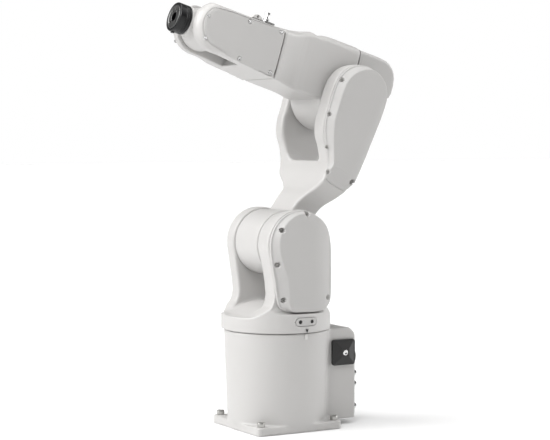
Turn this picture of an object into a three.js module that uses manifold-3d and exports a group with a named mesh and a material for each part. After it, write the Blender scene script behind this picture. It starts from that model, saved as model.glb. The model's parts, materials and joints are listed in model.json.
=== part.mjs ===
// Compact six-axis bench-top robot arm, as an assembly of separate pieces.
// Millimetres, +Z up, +X forward, origin at the centre of the base's underside.
import * as THREE from "three";
import { mergeVertices } from "three/addons/utils/BufferGeometryUtils.js";
import Module from "manifold-3d";

const wasm = await Module();
wasm.setup();

// ---------------------------------------------------------------- driving dimensions
const DEG = Math.PI / 180;
const SHOULDER_HEIGHT = 399.1; // axis 2 above the mounting face
const UPPER_ARM = 350; // axis 2 to axis 3
const ELBOW_RISE = 42; // axis 4 above axis 3, square to the forearm
const FOREARM = 351; // axis 3 to axis 5, along the forearm
const WRIST = 82; // axis 5 to the tool face
const UPPER_ARM_LEAN = 26.3 * DEG; // backwards from vertical
const FOREARM_LIFT = 16.7 * DEG; // above horizontal

const GAP = 0.35; // between pieces that touch
const SEAM = 1.2; // running gap between turning castings

const FOOT_HALF = 104;
const FOOT_THICKNESS = 17;
const BOLT_CIRCLE_HALF = 90; // foundation bolts sit at (+-90, +-90)
const BOLT_RADIUS = 5;
const COLUMN_TOP = 212.5;
const COLUMN_TOP_RADIUS = 114;
const RING_RADIUS = 117;

const REAR_BOX_HALF_WIDTH = 60;
const REAR_BOX_BACK = -163;

const YOKE_RADIUS = 75; // round heads of both yoke arms
const NEAR_ARM = { inner: 39.5, outer: 94 }; // side positions (Y) of the left yoke arm
const FAR_ARM = { inner: -58.5, outer: -92 };
const SHOULDER_COVER_FACE = 114;
const DRUM_RADIUS = 71;

const NEAR_LOBE = { inner: 42.5, outer: 84 }; // left cheek of the upper arm's fork
const FAR_LOBE = { inner: -89, outer: -121 };
const FORK_FLOOR = 196; // bottom of the fork gap, along the upper arm
const ARM_COVER_FACE = 106;

const FOREARM_SEAM = 203; // turning gap of axis 4, ahead of axis 3
const FOREARM_HALF_WIDTH = 69;
const WRIST_SLOT_HALF = 35.5;
const WRIST_CHEEK_RADIUS = 53;
const WRIST_DRUM_RADIUS = 46;
const FLANGE_RADIUS = 31.5;
const FLANGE_THICKNESS = 28;

// ---------------------------------------------------------------- materials
const finish = (color, roughness, metalness) =>
  new THREE.MeshStandardMaterial({ color, roughness, metalness });
const PAINT = finish(0xdedcd8, 0.45, 0.05);
const COVER_PAINT = finish(0xd9d7d3, 0.5, 0.0);
const BLACK_PLASTIC = finish(0x1b1b1c, 0.5, 0.0);
const BLACK_ANODISED = finish(0x161617, 0.38, 0.5);
const STEEL = finish(0x9a9a98, 0.35, 0.9);
const BRIGHT_STEEL = finish(0xc9c9c9, 0.18, 1.0);
const MOTOR_CASE = finish(0x2a2b2e, 0.55, 0.3);
const RUBBER = finish(0x222222, 0.85, 0.0);
const WHITE_PLASTIC = finish(0xf1f1ee, 0.5, 0.0);

// ---------------------------------------------------------------- outlines
const circle = (radius, segments = 40, [a, b] = [0, 0]) =>
  arc(radius, 0, 360, segments, [a, b]).slice(0, -1);

function arc(radius, from, to, steps, [a, b] = [0, 0]) {
  return Array.from({ length: steps + 1 }, (_, i) => {
    const angle = (from + ((to - from) * i) / steps) * DEG;
    return [a + radius * Math.cos(angle), b + radius * Math.sin(angle)];
  });
}

const rectangle = (a0, a1, b0, b1) => [[a0, b0], [a1, b0], [a1, b1], [a0, b1]];

// Cuts each corner of a polygon back by `size` and rounds it; a corner's own third value wins.
function rounded(points, size, steps = 3) {
  return points.flatMap((corner, i) => {
    const before = points[(i + points.length - 1) % points.length];
    const after = points[(i + 1) % points.length];
    const cut = corner[2] ?? size;
    if (!cut) return [[corner[0], corner[1]]];
    const towards = (end) => {
      const length = Math.hypot(end[0] - corner[0], end[1] - corner[1]);
      const share = Math.min(cut, length * 0.49) / length;
      return [corner[0] + (end[0] - corner[0]) * share, corner[1] + (end[1] - corner[1]) * share];
    };
    const [start, end] = [towards(before), towards(after)];
    return Array.from({ length: steps + 1 }, (_, k) => {
      const t = k / steps;
      return [0, 1].map(
        (n) => (1 - t) ** 2 * start[n] + 2 * t * (1 - t) * corner[n] + t ** 2 * end[n],
      );
    });
  });
}

// Closed smooth outline through the given points.
function smooth(points, steps = 2) {
  const corners = points.map(([a, b]) => new THREE.Vector3(a, b, 0));
  const curve = new THREE.CatmullRomCurve3(corners, true, "centripetal");
  return curve.getPoints(points.length * steps).slice(0, -1).map((p) => [p.x, p.y]);
}

// Outline of a belt round two wheels.
function beltOutline([a0, b0], r0, [a1, b1], r1, steps = 12) {
  const heading = Math.atan2(b1 - b0, a1 - a0) / DEG;
  const spread = Math.acos((r0 - r1) / Math.hypot(a1 - a0, b1 - b0)) / DEG;
  return [
    ...arc(r0, heading + spread, heading + 360 - spread, steps, [a0, b0]),
    ...arc(r1, heading - spread, heading + spread, steps, [a1, b1]),
  ];
}

// ---------------------------------------------------------------- solids
function solid(geometry) {
  const bare = new THREE.BufferGeometry().setAttribute("position", geometry.getAttribute("position"));
  if (geometry.index) bare.setIndex(geometry.index);
  const merged = mergeVertices(bare, 1e-4);
  const corners = [];
  for (let i = 0; i < merged.index.count; i += 3) {
    const [a, b, c] = [0, 1, 2].map((k) => merged.index.getX(i + k));
    if (a !== b && b !== c && c !== a) corners.push(a, b, c);
  }
  return new wasm.Manifold(
    new wasm.Mesh({
      numProp: 3,
      vertProperties: merged.attributes.position.array,
      triVerts: new Uint32Array(corners),
    }),
  );
}

// How an outline (a, b) and its depth lie for each extrusion axis.
const LAY = {
  X: new THREE.Matrix4().makeBasis(
    new THREE.Vector3(0, 1, 0), new THREE.Vector3(0, 0, 1), new THREE.Vector3(1, 0, 0),
  ),
  Y: new THREE.Matrix4().makeBasis(
    new THREE.Vector3(1, 0, 0), new THREE.Vector3(0, 0, 1), new THREE.Vector3(0, -1, 0),
  ),
  Z: new THREE.Matrix4(),
};

// Extrudes an outline along X (outline in Y, Z), Y (in X, Z) or Z (in X, Y), with eased edges.
function prism(outline, axis, from, to, bevel = 0) {
  const [low, high] = [Math.min(from, to), Math.max(from, to)];
  const shape = new THREE.Shape(outline.map(([a, b]) => new THREE.Vector2(a, b)));
  const geometry = new THREE.ExtrudeGeometry(shape, {
    depth: high - low - 2 * bevel,
    bevelEnabled: bevel > 0,
    bevelThickness: bevel,
    bevelSize: bevel,
    bevelOffset: -bevel,
    bevelSegments: 1,
    curveSegments: 1,
  });
  geometry.translate(0, 0, bevel).applyMatrix4(LAY[axis]);
  if (axis === "X") geometry.translate(low, 0, 0);
  if (axis === "Y") geometry.translate(0, high, 0);
  if (axis === "Z") geometry.translate(0, 0, low);
  return solid(geometry);
}

const block = (x0, x1, y0, y1, z0, z1) => prism(rectangle(x0, x1, y0, y1), "Z", z0, z1);

const disc = (axis, radius, from, to, at = [0, 0], segments = 40, bevel = 0) =>
  prism(circle(radius, segments, at), axis, from, to, bevel);

// Solid of revolution about Z: profile points are [radius, z], from the axis back to the axis.
function turned(profile, segments = 48) {
  const points = profile.map(([radius, z]) => new THREE.Vector2(radius, z));
  return solid(new THREE.LatheGeometry(points, segments).rotateX(Math.PI / 2));
}

const union = (...parts) => parts.reduce((a, b) => a.add(b));
const without = (body, ...cuts) => cuts.reduce((a, b) => a.subtract(b), body);

// Hexagon-socket cap screw head and shank along an axis, head outwards from `seat`.
function socketScrew(axis, at, seat, outward, headRadius, headHeight, shankRadius, shank) {
  const top = seat + outward * headHeight;
  const head = disc(axis, headRadius, seat, top, at, 20);
  const stem = disc(axis, shankRadius, seat - outward * shank, seat + outward * 0.5, at, 16);
  const socket = disc(axis, headRadius * 0.5, top - outward * headHeight * 0.55, top + outward, at, 6);
  return without(union(head, stem), socket);
}

// ---------------------------------------------------------------- scene graph
const robot = new THREE.Group();
const turntable = new THREE.Group();
const upperArm = new THREE.Group();
upperArm.position.set(0, 0, SHOULDER_HEIGHT);
upperArm.rotation.y = -UPPER_ARM_LEAN;
const elbow = new THREE.Group(); // also holds the forearm: same frame, origin on axis 3
elbow.position.set(0, 0, UPPER_ARM);
elbow.rotation.y = UPPER_ARM_LEAN - FOREARM_LIFT;
const wrist = new THREE.Group(); // origin where axes 5 and 6 cross
wrist.position.set(FOREARM, 0, ELBOW_RISE);
robot.add(turntable);
turntable.add(upperArm);
upperArm.add(elbow);
elbow.add(wrist);

function add(group, name, body, material) {
  const made = body.getMesh();
  const geometry = new THREE.BufferGeometry();
  const positions = new Float32Array(made.numVert * 3);
  for (let i = 0; i < made.numVert; i++)
    positions.set(made.vertProperties.subarray(i * made.numProp, i * made.numProp + 3), i * 3);
  geometry.setAttribute("position", new THREE.BufferAttribute(positions, 3));
  geometry.setIndex(new THREE.BufferAttribute(new Uint32Array(made.triVerts), 1));
  geometry.computeVertexNormals();
  const mesh = new THREE.Mesh(geometry, material);
  mesh.name = name;
  group.add(mesh);
}

// ---------------------------------------------------------------- base
const BOLT_PLACES = [[1, 1], [1, -1], [-1, 1], [-1, -1]].map(([x, y]) => [
  x * BOLT_CIRCLE_HALF,
  y * BOLT_CIRCLE_HALF,
]);
const SIDE_PORT = [-131, 159]; // blanked cable port on the left of the rear box (X, Z)

function baseCasting() {
  const foot = prism(
    rounded(rectangle(-FOOT_HALF, FOOT_HALF, -FOOT_HALF, FOOT_HALF), 11), "Z", 0, FOOT_THICKNESS, 1.2,
  );
  const column = turned([
    [0, 10], [106, 10], [107, FOOT_THICKNESS], [108.5, 60], [111.5, 140],
    [COLUMN_TOP_RADIUS, 205], [COLUMN_TOP_RADIUS - 0.5, COLUMN_TOP], [0, COLUMN_TOP],
  ]);
  const rearOutline = rounded(
    [[-60, 12, 0], [REAR_BOX_BACK, 12], [REAR_BOX_BACK, 199], [-151, 212], [-60, 212, 0]], 5,
  );
  const rearBox = prism(rearOutline, "Y", -REAR_BOX_HALF_WIDTH, REAR_BOX_HALF_WIDTH, 3);
  const pads = BOLT_PLACES.map((at) => disc("Z", 14, FOOT_THICKNESS - 1, FOOT_THICKNESS + 1, at, 24));
  const well = turned([[0, 22], [94, 22], [97, 60], [100, 205], [100, 220], [0, 220]], 48);
  const boxWell = block(-180, -88, -51, 51, 24, 198);
  const holes = BOLT_PLACES.map((at) => disc("Z", BOLT_RADIUS + 0.5, -1, 30, at, 16));
  const sidePort = disc("Y", 18, 40, 70, SIDE_PORT, 24);
  return without(union(foot, column, rearBox, ...pads), well, boxWell, sidePort, ...holes);
}

const PANEL_BACK = REAR_BOX_BACK - GAP - 3;

function rearPanel() {
  const plate = prism(rounded(rectangle(-55, 55, 18, 197), 5), "X", PANEL_BACK, REAR_BOX_BACK - GAP, 0.6);
  return without(plate, ...SOCKETS.map(({ at, radius }) => disc("X", radius + 0.5, -180, -150, at, 24)));
}

// Round connectors on the rear panel: place (Y, Z), flange radius and how far it stands out.
const SOCKETS = [
  { name: "power_inlet", at: [31, 146], radius: 19, reach: 6 },
  { name: "signal_inlet", at: [-18, 150], radius: 15, reach: 6 },
  { name: "customer_signal_socket", at: [8, 100], radius: 13, reach: 5 },
  { name: "network_socket", at: [-28, 100], radius: 10, reach: 5 },
];
const AIR_INLETS = [
  { name: "air_inlet_1", at: [44, 109] },
  { name: "air_inlet_2", at: [44, 85] },
  { name: "air_inlet_3", at: [44, 36] },
  { name: "air_inlet_4", at: [18, 36] },
];

function roundSocket({ at, radius, reach }) {
  const barrel = disc("X", radius, PANEL_BACK - reach, REAR_BOX_BACK + 12, at, 24);
  const mouth = disc("X", radius - 3, PANEL_BACK - reach - 1, PANEL_BACK + 4, at, 24);
  const core = disc("X", radius - 5, PANEL_BACK - 1, PANEL_BACK + 6, at, 16);
  return union(without(barrel, mouth), core);
}

function airInlet({ at }) {
  const hex = disc("X", 8, PANEL_BACK - GAP - 4, PANEL_BACK - GAP, at, 6);
  const collet = disc("X", 5.5, PANEL_BACK - 8, PANEL_BACK - 3.5, at, 20);
  return without(union(hex, collet), disc("X", 3, PANEL_BACK - 9, PANEL_BACK - 2, at, 12));
}

function blankingCap() {
  const [x, z] = SIDE_PORT;
  const base = REAR_BOX_HALF_WIDTH + GAP;
  const outline = rounded(rectangle(x - 29, x + 29, z - 28, z + 28), 5);
  const foot = prism(outline, "Y", base, base + 6, 1);
  // Four flat slopes rise to a small square land.
  const slopes = new THREE.CylinderGeometry(11, 38, 8, 4, 1).rotateY(Math.PI / 4);
  slopes.translate(0, base + 5.5 + 4, 0);
  const crown = solid(slopes.translate(x, 0, z));
  const spigot = disc("Y", 16, 50, base + 1, SIDE_PORT, 24);
  return without(union(foot, crown, spigot), disc("Y", 6.4, 66, 80, SIDE_PORT, 20));
}

function gearUnit(axis, radius, from, to, at = [0, 0], bore = 10) {
  const middle = (from + to) / 2;
  const wide = disc(axis, radius, from, middle, at, 28);
  const narrow = disc(axis, radius * 0.86, middle - Math.sign(to - from), to, at, 28);
  const [low, high] = [Math.min(from, to), Math.max(from, to)];
  return without(union(wide, narrow), disc(axis, bore, low - 1, high + 1, at, 12));
}

// Square servo motor with rounded corners and an encoder cap on its back.
function servoMotor(axis, half, from, to, at = [0, 0]) {
  const back = from + (to - from) * 0.72;
  const [a, b] = at;
  const squareOf = (h) => rounded(rectangle(a - h, a + h, b - h, b + h), half * 0.3, 2);
  const body = prism(squareOf(half), axis, from, back);
  const cap = prism(squareOf(half * 0.86), axis, back - Math.sign(to - from), to);
  return union(body, cap);
}

add(robot, "base_casting", baseCasting(), PAINT);
BOLT_PLACES.forEach((at, i) =>
  add(
    robot, "foundation_bolt_" + (i + 1),
    socketScrew("Z", at, FOOT_THICKNESS + 1 + GAP, 1, 8.5, 10, BOLT_RADIUS, 17.5), STEEL,
  ),
);
add(robot, "rear_connector_panel", rearPanel(), COVER_PAINT);
SOCKETS.forEach((socket) => add(robot, socket.name, roundSocket(socket), BLACK_ANODISED));
AIR_INLETS.forEach((inlet) => add(robot, inlet.name, airInlet(inlet), BRIGHT_STEEL));
add(robot, "side_blanking_cap", blankingCap(), BLACK_PLASTIC);
add(
  robot, "blanking_cap_screw",
  socketScrew("Y", SIDE_PORT, 66 + GAP + 2, 1, 5.5, 5.5, 2.2, 1.5), BRIGHT_STEEL,
);
add(robot, "axis1_motor", servoMotor("Z", 42, 148, 30), MOTOR_CASE);
add(robot, "axis1_gear_unit", gearUnit("Z", 78, 211, 150), STEEL);

// ---------------------------------------------------------------- turntable
const PORT_PLATE = { centre: [-6, 237.5], halfLength: 17, radius: 8.5 };

// Outline (X, Z) of a yoke arm: round head on axis 2, waist, and a foot that spreads to the ring.
function yokeOutline(waist, foot) {
  const head = arc(YOKE_RADIUS, -14, 194, 20, [0, SHOULDER_HEIGHT]);
  const side = (s) => [
    [s * (waist + 5), 330], [s * waist, 292], [s * (waist + 4), 274], [s * foot, 246],
  ];
  return [...side(1).reverse(), ...head, ...side(-1), [-foot, 214], [foot, 214]];
}

function turntableCasting() {
  const bottom = COLUMN_TOP + SEAM;
  const ring = turned([
    [0, bottom], [RING_RADIUS - 1, bottom], [RING_RADIUS, bottom + 2], [RING_RADIUS, 238],
    [RING_RADIUS - 3, 243], [RING_RADIUS - 14, 246], [0, 246],
  ]);
  const deckOutline = rounded(
    [[-108, 216, 0], [108, 216, 0], [108, 240], [58, 262], [20, 273], [-20, 273], [-58, 262], [-108, 240]],
    8, 2,
  );
  const deck = prism(deckOutline, "Y", FAR_ARM.outer + 6, NEAR_ARM.outer - 1).intersect(
    disc("Z", RING_RADIUS - 2, bottom, 300, [0, 0], 48),
  );
  const lip = block(-76, 76, 60, 120, 220, 253.5).intersect(
    disc("Z", RING_RADIUS - 1, bottom, 260, [0, 0], 48),
  );
  const nearArm = prism(yokeOutline(56, 88), "Y", NEAR_ARM.inner, NEAR_ARM.outer, 2);
  const farArm = prism(yokeOutline(58, 86), "Y", FAR_ARM.outer, FAR_ARM.inner, 2);
  const skirt = prism([[80, -60], [104, -60], [110.5, -31], [90, -31]], "Z", bottom, 247);
  const reach = disc("Z", RING_RADIUS - 0.5, bottom, 500, [0, 0], 48);
  const body = union(ring, deck, lip, nearArm.add(farArm).intersect(reach), skirt);
  return without(
    body,
    disc("Y", 50, 30, 70, [0, SHOULDER_HEIGHT]), // seat of the axis 2 gear unit
    prism(rounded(rectangle(-44, 44, 300, 450), 14), "Y", 62, 100), // motor pocket under the cover
    disc("Y", 48, -76, -50, [0, SHOULDER_HEIGHT]), // seat of the support bearing
    disc("Z", 60, 200, 256), // cable well on axis 1
    portRecess(),
  );
}

function portRecess() {
  const { centre: [x, z], halfLength, radius } = PORT_PLATE;
  const ends = beltOutline([x - halfLength, z], radius + GAP, [x + halfLength, z], radius + GAP, 8);
  return prism(ends, "Y", RING_RADIUS - 9, RING_RADIUS + 6);
}

function portPlate() {
  const { centre: [x, z], halfLength, radius } = PORT_PLATE;
  const ends = beltOutline([x - halfLength, z], radius, [x + halfLength, z], radius, 8);
  const plate = prism(ends, "Y", RING_RADIUS - 8.5, RING_RADIUS - 2.2, 0.6);
  return without(plate, ...PORT_HOLES.map((at) => disc("Y", 4.2, 100, 130, at, 16)));
}

const PORT_HOLES = [-1, 1].map((s) => [
  PORT_PLATE.centre[0] + s * (PORT_PLATE.halfLength - 2.5),
  PORT_PLATE.centre[1],
]);

// Rim outline (X, Z) of the shoulder's side cover, and the edge of its raised face.
const SHOULDER_RIM = smooth([
  [0, 473], [30, 466], [54, 449], [69, 424], [73, 395], [69, 360], [62, 322], [57, 288], [50, 268],
  [30, 258], [0, 256], [-35, 257], [-60, 262], [-73, 276], [-76, 310], [-76, 360], [-75, 400],
  [-69, 428], [-54, 450], [-30, 466],
]);
const SHOULDER_FACE = smooth([
  [-2, 464], [22, 459], [46, 442], [59, 418], [60, 394], [52, 364], [43, 336], [38, 300], [37, 276],
  [28, 263], [0, 260], [-34, 261], [-56, 266], [-66, 280], [-68, 320], [-68, 390], [-62, 425],
  [-46, 450], [-24, 462],
]);

function shoulderCover() {
  const rim = prism(SHOULDER_RIM, "Y", NEAR_ARM.outer + GAP, NEAR_ARM.outer + 8, 1.5);
  const face = prism(SHOULDER_FACE, "Y", NEAR_ARM.outer + 2, SHOULDER_COVER_FACE, 5);
  const hollow = prism(rounded(rectangle(-40, 40, 300, 446), 14), "Y", 80, SHOULDER_COVER_FACE - 4);
  return without(union(rim, face), hollow);
}

add(turntable, "turntable_casting", turntableCasting(), PAINT);
add(turntable, "shoulder_side_cover", shoulderCover(), COVER_PAINT);
add(turntable, "port_plate", portPlate(), COVER_PAINT);
["port_plug_rear", "port_plug_front"].forEach((name, i) => {
  const plug = disc("Y", 3.9, RING_RADIUS - 8, RING_RADIUS - 3, PORT_HOLES[i], 16, 0.4);
  add(turntable, name, plug, BLACK_PLASTIC);
});
add(
  turntable, "zero_pointer",
  prism([[-9, 222], [-6, 215], [-3, 222]], "Y", RING_RADIUS + GAP, RING_RADIUS + 2), BLACK_PLASTIC,
);
add(
  robot, "zero_mark_tab",
  prism(rectangle(-9, -3, 200, 211), "Y", COLUMN_TOP_RADIUS + GAP, COLUMN_TOP_RADIUS + 2), WHITE_PLASTIC,
);
add(turntable, "axis2_gear_unit", gearUnit("Y", 49.5, 68, 40, [0, SHOULDER_HEIGHT]), STEEL);
add(turntable, "axis2_motor", servoMotor("Y", 36, 69, 109, [0, SHOULDER_HEIGHT]), MOTOR_CASE);
add(
  turntable, "shoulder_support_bearing",
  without(
    disc("Y", 47.5, -75.5, -60, [0, SHOULDER_HEIGHT], 32),
    disc("Y", 36.2, -80, -50, [0, SHOULDER_HEIGHT], 32),
  ),
  STEEL,
);
add(turntable, "deck_plug", disc("Z", 4, 273 + GAP, 276, [14, -10], 16, 0.8), BRIGHT_STEEL);

// ---------------------------------------------------------------- upper arm
// Side outline (X forward, Z along the arm) of the whole casting.
const ARM_SIDE = smooth([
  [0, 420], [30, 414], [54, 394], [66, 366], [67, 338], [61, 300], [56, 266], [44, 238], [24, 216],
  [6, 186], [3, 158], [16, 124], [32, 96], [44, 70], [52, 40], [-44, 40], [-42, 72], [-43, 104],
  [-56, 134], [-65, 164], [-69, 216], [-68, 284], [-66, 344], [-58, 380], [-34, 408],
]);
// Front outline (Y, Z): neck between the yoke arms, spreading into the fork.
const ARM_FRONT = [
  [-57.5, 0], [38.5, 0], [38.5, 80], [46, 100], [66, 128], [NEAR_LOBE.outer, 150], [NEAR_LOBE.outer, 430],
  [NEAR_LOBE.inner, 430], [NEAR_LOBE.inner, FORK_FLOOR + 5], [NEAR_LOBE.inner - 5, FORK_FLOOR],
  [FAR_LOBE.inner + 23, FORK_FLOOR], [FAR_LOBE.inner + 12, FORK_FLOOR + 3],
  [FAR_LOBE.inner + 4, FORK_FLOOR + 11], [FAR_LOBE.inner, FORK_FLOOR + 26], [FAR_LOBE.inner, 430],
  [FAR_LOBE.outer, 430], [FAR_LOBE.outer, 175], [-116, 164], [-106, 154], [-84, 141], [-66, 128],
  [-57.5, 116],
];

const J3_MOTOR = [-20, 238]; // axis 3 motor, in the left cheek below the elbow
const J3 = [0, UPPER_ARM];

function upperArmCasting() {
  const arm = prism(ARM_SIDE, "Y", -130, 130).intersect(prism(ARM_FRONT, "X", -100, 100));
  const drum = disc("Y", DRUM_RADIUS, -57.5, 38.5, [0, 0], 48, 1.5);
  const stub = disc("Y", 35.5, -76, -56, [0, 0], 32);
  return without(
    union(arm, drum, stub),
    disc("Y", 49.8, 30, 72, J3, 36), // seat of the axis 3 gear unit
    disc("Y", 47.9, -106, -80, J3, 36), // seat of the elbow's support bearing
    prism(beltOutline(J3, 38, J3_MOTOR, 38), "Y", 72, 100), // belt pocket under the cover
    prism(rounded(rectangle(-47, 7, 211, 265), 8, 2), "Y", 46, 100), // axis 3 motor well
    disc("Y", 22, -80, 60, [0, 0], 32), // cable way through the drum
  );
}

const ARM_COVER_RIM = smooth([
  [0, 419], [30, 412], [52, 393], [64, 366], [65, 338], [60, 300], [55, 266], [43, 239], [24, 212],
  [8, 186], [2, 160], [-24, 153], [-54, 152], [-64, 168], [-67, 216], [-66, 284], [-64, 344],
  [-57, 379], [-34, 407],
]);
const ARM_COVER_FACE_EDGE = smooth([
  [-4, 412], [22, 405], [42, 388], [53, 364], [54, 338], [50, 300], [45, 270], [34, 244], [15, 214],
  [1, 188], [-5, 166], [-26, 160], [-50, 160], [-58, 172], [-61, 216], [-60, 284], [-58, 342],
  [-52, 374], [-32, 400],
]);

function upperArmCover() {
  const rim = prism(ARM_COVER_RIM, "Y", NEAR_LOBE.outer + GAP, NEAR_LOBE.outer + 8, 1.5);
  const face = prism(ARM_COVER_FACE_EDGE, "Y", NEAR_LOBE.outer + 2, ARM_COVER_FACE, 5);
  return without(union(rim, face), prism(beltOutline(J3, 36, J3_MOTOR, 36), "Y", 70, ARM_COVER_FACE - 4));
}

const BELT3 = { from: 86, to: 96, thickness: 1.6, input: 26, motor: 16 };

// Toothed belt, a little narrower than its pulleys.
function belt(inputAt, motorAt, { from, to, thickness, input, motor }) {
  const loop = (rise) => beltOutline(inputAt, input + GAP + rise, motorAt, motor + GAP + rise, 12);
  return without(
    prism(loop(thickness), "Y", from + 0.5, to - 0.5),
    prism(loop(0), "Y", from - 1, to + 1),
  );
}

function pulley(at, radius, from, to, bore) {
  return disc("Y", radius, from, to, at, 24).subtract(disc("Y", bore, from - 1, to + 1, at, 10));
}

add(upperArm, "upper_arm_casting", upperArmCasting(), PAINT);
add(upperArm, "upper_arm_side_cover", upperArmCover(), COVER_PAINT);
add(upperArm, "axis3_gear_unit", gearUnit("Y", 49.4, 70, 43, J3), STEEL);
add(upperArm, "axis3_motor", servoMotor("Y", 25, 84, 48, J3_MOTOR), MOTOR_CASE);
add(upperArm, "axis3_belt", belt(J3, J3_MOTOR, BELT3), RUBBER);
add(upperArm, "axis3_input_pulley", pulley(J3, BELT3.input, BELT3.from, BELT3.to, 6), STEEL);
add(upperArm, "axis3_motor_pulley", pulley(J3_MOTOR, BELT3.motor, BELT3.from, BELT3.to, 5), STEEL);
add(
  upperArm, "elbow_support_bearing",
  without(disc("Y", 47.4, -105.5, -91, J3, 32), disc("Y", 36.2, -110, -80, J3, 32)), STEEL,
);

// ---------------------------------------------------------------- elbow housing
// Side outline (X along the forearm, Z up): round drum on axis 3 and the box that carries axis 4.
const ELBOW_TOP = 119;
const ELBOW_SIDE = [
  ...arc(72, 180, 340, 26),
  [FOREARM_SEAM - 1, -22], [FOREARM_SEAM - 1, 98], [166, 103], [128, 114],
  [96, ELBOW_TOP], [-8, ELBOW_TOP], [-8, 71.5],
];
// Plan outline (X, Y): narrow between the fork's cheeks, wide at the forearm.
const ELBOW_PLAN = [
  [-90, -86], [84, -86], [104, -74], [128, -68], [FOREARM_SEAM, -67], [FOREARM_SEAM, 67], [190, 62], [160, 50],
  [134, 41], [118, 38], [-90, 38],
];
const AXIS4 = [0, ELBOW_RISE]; // (Y, Z)

// Section (Y, Z): a low roof with broad bevels down to the flanks.
const ELBOW_SECTION = rounded(
  [[-88, -80], [88, -80], [88, 66], [28, 113], [0, 119.4], [-28, 113], [-88, 66]], 4, 3,
);

function elbowHousing() {
  const body = prism(ELBOW_SIDE, "Y", -100, 100)
    .intersect(prism(ELBOW_PLAN, "Z", -100, 140))
    .intersect(prism(ELBOW_SECTION, "X", -120, FOREARM_SEAM));
  const stub = disc("Y", 35.5, -104, -80, [0, 0], 32);
  return without(
    union(body, stub),
    disc("X", 50.5, 168, 210, AXIS4), // seat of the axis 4 gear unit
    block(-60, 170, -37, 34, 8, 100), // motor well, open to the rear cover
  );
}

const REAR_COVER_SIDE = rounded(
  [
    [-9, 22, 0], [-9, ELBOW_TOP - 1, 0], [-84, ELBOW_TOP - 1, 22],
    [-112, 98, 26], [-112, 34, 16], [-86, 22, 10],
  ],
  8, 4,
);

function elbowRearCover() {
  const shell = prism(REAR_COVER_SIDE, "Y", -46, 37, 3).intersect(prism(ELBOW_SECTION, "X", -120, 0));
  const drumClearance = disc("Y", 72.6, -100, 60);
  return without(shell, drumClearance, block(-104, 0, -28, 22, 40, 104));
}

add(elbow, "elbow_housing", elbowHousing(), PAINT);
add(elbow, "elbow_rear_cover", elbowRearCover(), COVER_PAINT);
add(elbow, "axis4_motor", servoMotor("X", 30, 150, 30, AXIS4), MOTOR_CASE);
add(elbow, "axis4_gear_unit", gearUnit("X", 49.8, 201, 169, AXIS4), STEEL);

// ---------------------------------------------------------------- forearm
const AXIS5 = [FOREARM, ELBOW_RISE]; // (X, Z)
const J5_MOTOR = [240, 40];
const FRONT_TOP = ELBOW_RISE + WRIST_CHEEK_RADIUS;
const FOREARM_TOP = 98; // ridge along the top, ahead of the turning gap
const LUG_LAND = 94.5; // flat land in the roof, under the lifting lug

// Side outline (X, Z): deep at the turning gap, tapering to round cheeks on axis 5.
const FOREARM_SIDE = [
  [FOREARM_SEAM + SEAM, -22], [330, ELBOW_RISE - WRIST_CHEEK_RADIUS],
  ...arc(WRIST_CHEEK_RADIUS, -90, 90, 20, AXIS5),
  [322, FRONT_TOP + 1.5], [292, FOREARM_TOP], [FOREARM_SEAM + SEAM, FOREARM_TOP],
];
// Section (Y, Z): flat sides and underside, under a low roof.
const FOREARM_SECTION = rounded(
  [[-65, -24, 4], [65, -24, 4], [65, 84], [9, FOREARM_TOP], [-9, FOREARM_TOP], [-65, 84]], 8, 3,
);

// Room for the flange to swing right back between the cheeks.
const wristSlot = () => disc("Y", 92, -WRIST_SLOT_HALF, WRIST_SLOT_HALF, AXIS5, 48);

function forearmCasting() {
  const body = prism(FOREARM_SIDE, "Y", -80, 80).intersect(prism(FOREARM_SECTION, "X", 200, 420));
  const pocket = prism(beltOutline(AXIS5, 36, J5_MOTOR, 33), "Y", 48, 80);
  return without(
    body, wristSlot(), pocket,
    prism(beltOutline(AXIS5, 36, J5_MOTOR, 33), "Y", -80, -48), // cable pocket on the right
    prism(rounded(rectangle(215, 265, 15, 65), 6, 2), "Y", -46, 50), // axis 5 motor well
    disc("Y", 31, 30, 60, AXIS5), // seat of the axis 5 gear unit
    block(240, 270, 12, 28, LUG_LAND, 110), // land for the lifting lug
  );
}

function forearmCover(side) {
  const outline = rounded(
    [
      [FOREARM_SEAM + 3, -17], [352, -8, 30], [399, 6, 40],
      [399, 68, 36], [352, 79, 30], [FOREARM_SEAM + 3, 83],
    ],
    6, 4,
  );
  return prism(outline, "Y", side * (65 + GAP), side * FOREARM_HALF_WIDTH, 1.2);
}

function liftingLug() {
  const outline = [
    [242, -0.4], [268, -0.4], [267, 3], [263, 7], [258, 9.4], [252, 9.4], [247, 7], [243, 3],
  ].map(([x, z]) => [x, z + LUG_LAND + 0.4 + GAP]);
  const eye = disc("Y", 3, 0, 40, [255, LUG_LAND + 5.5], 14);
  return prism(outline, "Y", 14, 26, 1).subtract(eye);
}

// Push-in air plug: flat base, collar, neck and cap.
function airFitting() {
  const foot = FOREARM_TOP + GAP;
  const plate = prism(rounded(rectangle(203, 232, -8, 14), 4), "Z", foot, foot + 2.6, 0.6);
  const plug = turned(
    [[0, 1], [7, 1], [7, 8], [4.2, 9], [3.6, 17.6], [6.6, 18], [6.6, 22.2], [0, 22.2]], 20,
  ).translate([222, 3, foot]);
  return union(plate, plug);
}

const BELT5 = { from: 54, to: 62, thickness: 1.4, input: 20, motor: 14 };

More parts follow.
